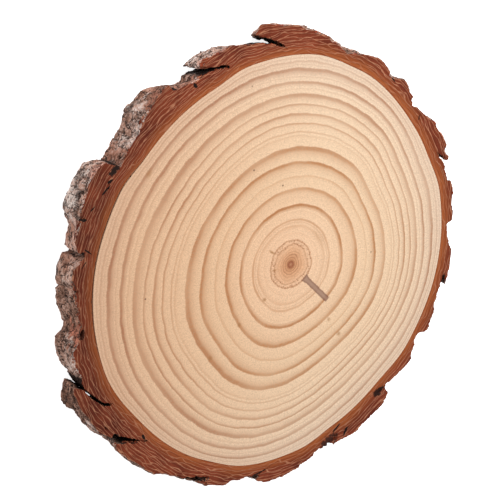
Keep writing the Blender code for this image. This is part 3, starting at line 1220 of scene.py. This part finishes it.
@dataclass
class BarkRing:
    """The ring of bark: sawn faces, cracks between plates, and scales outside."""

    outline: Outline
    voxel: float = 0.98
    merge: float = 0.01
    flat_within: float = 0.5
    arris_within: float = 1.25
    # Scales on the outside, as width round the trunk and height along it
    scale_size: tuple[float, float] = (13.0, 8.0)
    small_scale_size: tuple[float, float] = (5.0, 3.5)
    scale_height: float = 1.2
    small_scale_height: float = 0.4
    fissure_depth: float = 0.6
    seam_margin: float = 1.5
    hollow_shadow: float = 0.7
    shallow: float = 3.4
    # A crack's walls bulge in by this much, deep inside
    crack_fill: float = 0.8
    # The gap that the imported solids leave
    packed_gap: float = 0.29
    # The bark's outermost surface is looked for in this many slots round the trunk and levels
    envelope_slots: int = 480
    envelope_levels: int = 4
    # A point this far behind it begins to count as inside a crack, and is wholly inside further in
    buried_from: float = 3.0
    buried_fade: float = 6.0
    # Bark between the plates that are listed
    plain_rough: float = 0.7
    plain_tone: float = 0.45
    # The wood has shrunk away from the bark on one side, between these directions
    seam: float = 0.08
    open_seam: float = 0.6
    open_from: float = 150.0
    open_to: float = 196.0

    def remeshed(self) -> bpy.types.Object:
        """A fine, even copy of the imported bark.

        Returns:
            A new object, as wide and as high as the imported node.
        """
        source = frame["nodes"]["bark"]
        ring = bpy.data.objects.new("bark_ring", source.data.copy())
        bpy.context.scene.collection.objects.link(ring)
        ring.data.materials.clear()
        pick(ring)
        bpy.ops.object.mode_set(mode="EDIT")
        bpy.ops.mesh.select_all(action="SELECT")
        bpy.ops.mesh.remove_doubles(threshold=self.merge * MM)
        bpy.ops.object.mode_set(mode="OBJECT")
        remesh = ring.modifiers.new("fine", "REMESH")
        remesh.mode = "VOXEL"
        remesh.voxel_size = self.voxel * MM
        remesh.adaptivity = 0.0
        bpy.ops.object.modifier_apply(modifier=remesh.name)
        _, reach = self.around(points_of(ring.data))
        ring.data.vertices.foreach_set("select", reach < self.seam_margin)
        bpy.ops.object.mode_set(mode="EDIT")
        bpy.ops.mesh.select_mode(type="VERT")
        bpy.ops.mesh.select_linked()
        bpy.ops.mesh.select_all(action="INVERT")
        bpy.ops.mesh.delete(type="VERT")
        bpy.ops.object.mode_set(mode="OBJECT")
        return ring

    def around(self, points: np.ndarray) -> tuple[np.ndarray, np.ndarray]:
        """Where points lie round the trunk and past the wood's edge.

        Args:
            points: places in millimetres.

        Returns:
            Degrees about the disc's middle, and millimetres past the wood's edge.
        """
        away = points[:, :2] - self.outline.middle
        degrees = np.degrees(np.arctan2(away[:, 1], away[:, 0]))
        edge = self.outline.reach_from(self.outline.middle, degrees)
        return degrees, np.hypot(*away.T) - edge

    def envelope(self, degrees: np.ndarray, heights: np.ndarray, reach: np.ndarray) -> np.ndarray:
        """How deep each point lies behind the bark's outermost surface near it.

        Args:
            degrees: where the points lie round the trunk.
            heights: their heights.
            reach: how far they are past the wood's edge.

        Returns:
            A depth in millimetres for each.
        """
        slots, levels = self.envelope_slots, self.envelope_levels
        slot = ((degrees % 360.0) / 360.0 * slots).astype(int) % slots
        level = np.clip(heights / self.outline.thickness * levels, 0, levels - 1).astype(int)
        furthest = np.zeros((slots, levels))
        np.maximum.at(furthest, (slot, level), reach)
        near = np.max([np.roll(furthest, shift, axis=0) for shift in (-1, 0, 1)], axis=0)
        return near[slot, level] - reach

    def scales(self, points: np.ndarray, degrees: np.ndarray, size: tuple[float, float],
               draw: float) -> tuple[np.ndarray, np.ndarray, np.ndarray]:
        """Overlapping scales, each with a height and tilt of its own.

        Args:
            points: the places to read.
            degrees: where they lie round the trunk.
            size: a scale's width and height.
            draw: picks another pattern of scales.

        Returns:
            For each place its scale's height, from -1 to 1, how near it is to the scale's edge,
            from 0 to 1, and a number from 0 to 1 for its scale.
        """
        radius = float(np.mean(np.hypot(*(points[:, :2] - self.outline.middle).T)))
        height, edge, lot = np.zeros(len(points)), np.zeros(len(points)), np.zeros(len(points))
        turn = np.radians(degrees)
        across = radius / size[0]
        for index, (angle, z) in enumerate(zip(turn, points[:, 2])):
            spot = Vector((across * math.cos(angle), across * math.sin(angle), z / size[1] + draw))
            spot += noise.noise_vector(spot * 1.3) * 0.45
            distances, cells = noise.voronoi(spot)
            cell = cells[0]
            own = noise.cell(cell * 17.3)
            tilt = noise.cell_vector(cell * 9.7)
            height[index] = 0.75 * own + (spot - cell).dot(tilt) * 0.6
            edge[index] = max(0.0, 1.0 - (distances[1] - distances[0]) * 6.0)
            lot[index] = 0.5 + 0.5 * own
        return height, edge, lot

    def looks(self, points: np.ndarray, degrees: np.ndarray, height: np.ndarray,
              small: np.ndarray) -> tuple[np.ndarray, np.ndarray, np.ndarray]:
        """How scaly, grey and newly broken the bark is, from the plate that each point lies in.

        Args:
            points: the places in millimetres.
            degrees: where they lie round the trunk.
            height: how high the large scales are there.
            small: how high the small scales are there.

        Returns:
            For each place how scaly it is, how grey, and how red from a new break.
        """
        rough = np.full(len(points), self.plain_rough)
        tone, fresh = np.full(len(points), self.plain_tone), np.zeros(len(points))
        # The plates' edges are as ragged as the scales on them
        strayed = (degrees + 2.5 * small + 1.5 * height) % 360.0
        for plate in PLATE_LOOKS:
            inside = (strayed >= plate.start) & (strayed < plate.end)
            rough[inside], tone[inside] = plate.rough, plate.tone
            above = np.clip((points[:, 2] + 3.0 * small - plate.fresh_above) / 1.5, 0.0, 1.0)
            fresh[inside] = (plate.fresh * above)[inside]
        return rough, tone, fresh

    def weather(self, ring: bpy.types.Object) -> None:
        """Flatten the sawn faces, raise the scales outside, and store what the finishes read.

        Args:
            ring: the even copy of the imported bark.
        """
        mesh = ring.data
        points = points_of(mesh)
        normals = np.zeros(len(points) * 3)
        mesh.vertex_normals.foreach_get("vector", normals)
        normals = normals.reshape(-1, 3)
        thickness = self.outline.thickness
        points[points[:, 2] > thickness - self.flat_within, 2] = thickness
        points[points[:, 2] < self.flat_within, 2] = 0.0
        degrees, reach = self.around(points)

        sideways = np.hypot(normals[:, 0], normals[:, 1])
        wall = (sideways > 0.35) & (reach > self.seam_margin)
        height, edge, lot = np.zeros(len(points)), np.zeros(len(points)), np.full(len(points), 0.5)
        small, small_edge, small_lot = height.copy(), height.copy(), lot.copy()
        height[wall], edge[wall], lot[wall] = self.scales(points[wall], degrees[wall], self.scale_size, 0.0)
        small[wall], small_edge[wall], small_lot[wall] = self.scales(
            points[wall], degrees[wall], self.small_scale_size, 40.0)

        rough, tone, fresh = self.looks(points, degrees, height, small)
        behind = self.envelope(degrees, points[:, 2], reach)
        buried = np.clip((behind - self.buried_from) / self.buried_fade, 0.0, 1.0)
        hollow_floor = (normals[:, 2] > 0.85) & (points[:, 2] < thickness - 1.2) & (reach > self.seam_margin)
        open_air = wall * (1.0 - buried) * np.clip((reach - self.seam_margin) / 2.0, 0.0, 1.0)
        below_arris = np.clip((thickness - points[:, 2]) / 1.5, 0.0, 1.0)
        push = open_air * (self.scale_height * height * (0.4 + 0.6 * rough)
                           + self.small_scale_height * small * rough * below_arris
                           - self.fissure_depth * np.maximum(edge, 0.6 * small_edge) * rough * below_arris)
        push += wall * buried * (self.crack_fill + 0.7 * small)
        flat = normals[:, :2] / np.maximum(sideways, 0.2)[:, None]
        points[:, :2] += flat * push[:, None]
        points[:, 2] = np.clip(points[:, 2], 0.0, thickness)
        self.close_seam(points)
        move_points(mesh, points)

        degrees, reach = self.around(points)
        turn = np.radians(degrees)
        radius = float(np.mean(np.hypot(*(points[:, :2] - self.outline.middle).T)))
        keep_on_mesh(mesh, "bark_reach", reach)
        keep_on_mesh(mesh, "bark_grain", np.column_stack(
            (radius * np.cos(turn), radius * np.sin(turn), reach)))
        spread = 0.3 * (lot - 0.5) + 0.2 * (small_lot - 0.5)
        keep_on_mesh(mesh, "bark_tone", np.clip(tone + spread * (0.4 + 0.6 * rough), 0.0, 1.0))
        keep_on_mesh(mesh, "bark_fresh", fresh)
        shadow = np.clip(np.maximum(edge, 0.5 * small_edge) * 0.8 * rough, 0.0, 1.0)
        shadow = np.maximum(shadow * wall, self.hollow_shadow * hollow_floor)
        # Painted shade deep in the cracks, together with the painted shadows, for the weathered finish to
        # darken
        keep_on_mesh(mesh, "bark_crevice_shade", np.maximum(np.clip(1.6 * buried, 0.0, 1.0), shadow))

    def close_seam(self, points: np.ndarray) -> None:
        """Bring the bark's inner wall up to the wood, but for one side where it has come away.

        Args:
            points: the bark's points in millimetres, which are moved.
        """
        degrees, reach = self.around(points)
        arris = reach < self.seam_margin * 0.7
        thickness = self.outline.thickness
        points[arris & (points[:, 2] > thickness - self.arris_within), 2] = thickness
        points[arris & (points[:, 2] < self.arris_within), 2] = 0.0
        round_it = degrees % 360.0
        parted = np.clip(np.minimum(round_it - self.open_from, self.open_to - round_it) / 10.0, 0.0, 1.0)
        climbing = np.sin(np.radians(round_it * 9.0 + points[:, 2] * 6.0))
        ragged = 0.5 + 0.5 * np.sin(np.radians(round_it * 23.0)) * climbing
        wanted = self.seam + (self.open_seam - self.seam) * parted * (0.4 + 0.6 * ragged)
        close = np.clip((3.0 - reach) / 2.5, 0.0, 1.0)
        shifted = np.maximum(reach + (wanted - self.packed_gap) * close, 0.03)
        away = points[:, :2] - self.outline.middle
        length = np.hypot(*away.T)
        points[:, :2] += away / length[:, None] * (shifted - reach)[:, None]

    def dress(self, ring: bpy.types.Object) -> None:
        """Give the sawn faces and the weathered outside their finishes.

        Args:
            ring: the weathered bark.
        """
        ring.data.materials.append(SawnBark(middle=tuple(self.outline.middle)).build())
        ring.data.materials.append(WeatheredBark().build())
        level = self.outline.thickness * MM
        _, reach = self.around(points_of(ring.data))
        for face in ring.data.polygons:
            heights = [ring.data.vertices[index].co.z for index in face.vertices]
            near_wood = max(reach[index] for index in face.vertices) < self.seam_margin
            shallow = min(heights) > level - self.shallow * MM and face.normal.z > 0.3
            sawn = near_wood or shallow or min(heights) > level - 1e-6 or max(heights) < 1e-6
            face.material_index = (BarkSide.SAWN if sawn else BarkSide.WEATHERED).value

    def build(self) -> bpy.types.Object:
        """Make and dress the bark.

        Returns:
            The bark.
        """
        ring = self.remeshed()
        self.weather(ring)
        self.dress(ring)
        pick(ring)
        bpy.ops.object.shade_smooth_by_angle(angle=math.radians(50.0))
        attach(ring, "root")
        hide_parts("bark")
        return ring


@dataclass
class Studio:
    """A white floor, soft light, and a long lens that looks down on the slice, rolled."""

    azimuth: float = 154.31
    elevation: float = 49.6
    roll: float = 115.69
    distance_m: float = 8.0
    lens_mm: float = 900.4
    aim: tuple[float, float, float] = (-5.5, 1.3, 10.4)
    floor_half_m: float = 6.0
    floor_gap: float = 0.2

    def axes(self) -> tuple[Vector, Vector, Vector]:
        """Work out how the camera is turned.

        Returns:
            Its right, up and backward directions.
        """
        around, above, roll = (math.radians(a) for a in (self.azimuth, self.elevation, self.roll))
        flat = math.cos(above)
        back = Vector((flat * math.cos(around), flat * math.sin(around), math.sin(above)))
        level = Vector((0.0, 0.0, 1.0)).cross(back).normalized()
        upright = back.cross(level)
        right = level * math.cos(roll) + upright * math.sin(roll)
        return right, back.cross(right), back

    def make_camera(self) -> None:
        """Place the camera."""
        right, up, back = self.axes()
        data = bpy.data.cameras.new("camera")
        data.lens = self.lens_mm
        data.clip_end = self.distance_m * 3
        camera = bpy.data.objects.new("camera", data)
        bpy.context.scene.collection.objects.link(camera)
        turn = Matrix((right, up, back)).transposed()
        place = Vector(self.aim) * MM + back * self.distance_m
        camera.matrix_world = Matrix.Translation(place) @ turn.to_4x4()
        bpy.context.scene.camera = camera

    def make_floor(self) -> None:
        """Lay the floor just under the slice."""
        deselect_all()
        bpy.ops.mesh.primitive_plane_add(
            size=self.floor_half_m * 2, location=(0.0, 0.0, -self.floor_gap * MM))
        floor = bpy.context.active_object
        floor.name = "floor"
        floor.data.materials.append(StudioPaper().build())

    def make_light(self, name: str, towards: Vector, distance: float, size: float, power: float) -> None:
        """Hang a square soft light that faces the slice.

        Args:
            name: the light's name.
            towards: its direction from the slice.
            distance: how far off it is, in metres.
            size: its side, in metres.
            power: its watts.
        """
        data = bpy.data.lights.new(name, "AREA")
        data.size = size
        data.energy = power
        light = bpy.data.objects.new(name, data)
        bpy.context.scene.collection.objects.link(light)
        light.location = towards.normalized() * distance
        light.rotation_euler = towards.to_track_quat("Z", "Y").to_euler()

    def build(self) -> None:
        """Set the stage."""
        self.make_floor()
        self.make_camera()
        right, up, back = self.axes()
        self.make_light("key", back * 0.6 + up * 0.7 + right * 0.8, 1.4, 1.1, 21.0)
        self.make_light("fill", back * 0.8 - right * 0.9 + up * 0.1, 1.8, 1.4, 10.0)
        world = bpy.data.worlds.new("studio")
        world.use_nodes = True
        world.node_tree.nodes["Background"].inputs["Color"].default_value = (1.0, 1.0, 1.0, 1.0)
        world.node_tree.nodes["Background"].inputs["Strength"].default_value = 0.46
        bpy.context.scene.world = world
        bpy.context.scene.view_settings.view_transform = "Standard"


def main() -> None:
    """Build the slice and its studio, and note the sizes."""
    logging.basicConfig(level=logging.INFO, format="%(name)s: %(message)s")
    noise.seed_set(NOISE_SEED)
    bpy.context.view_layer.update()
    outline = Outline("wood")
    Studio().build()
    for maker in (WoodDisc(outline), BarkRing(outline)):
        piece = maker.build()
        mesh = piece.data
        LOG.info("%s has %d points and %d faces", piece.name, len(mesh.vertices), len(mesh.polygons))
    bpy.context.view_layer.update()


if __name__ == "__main__":
    main()
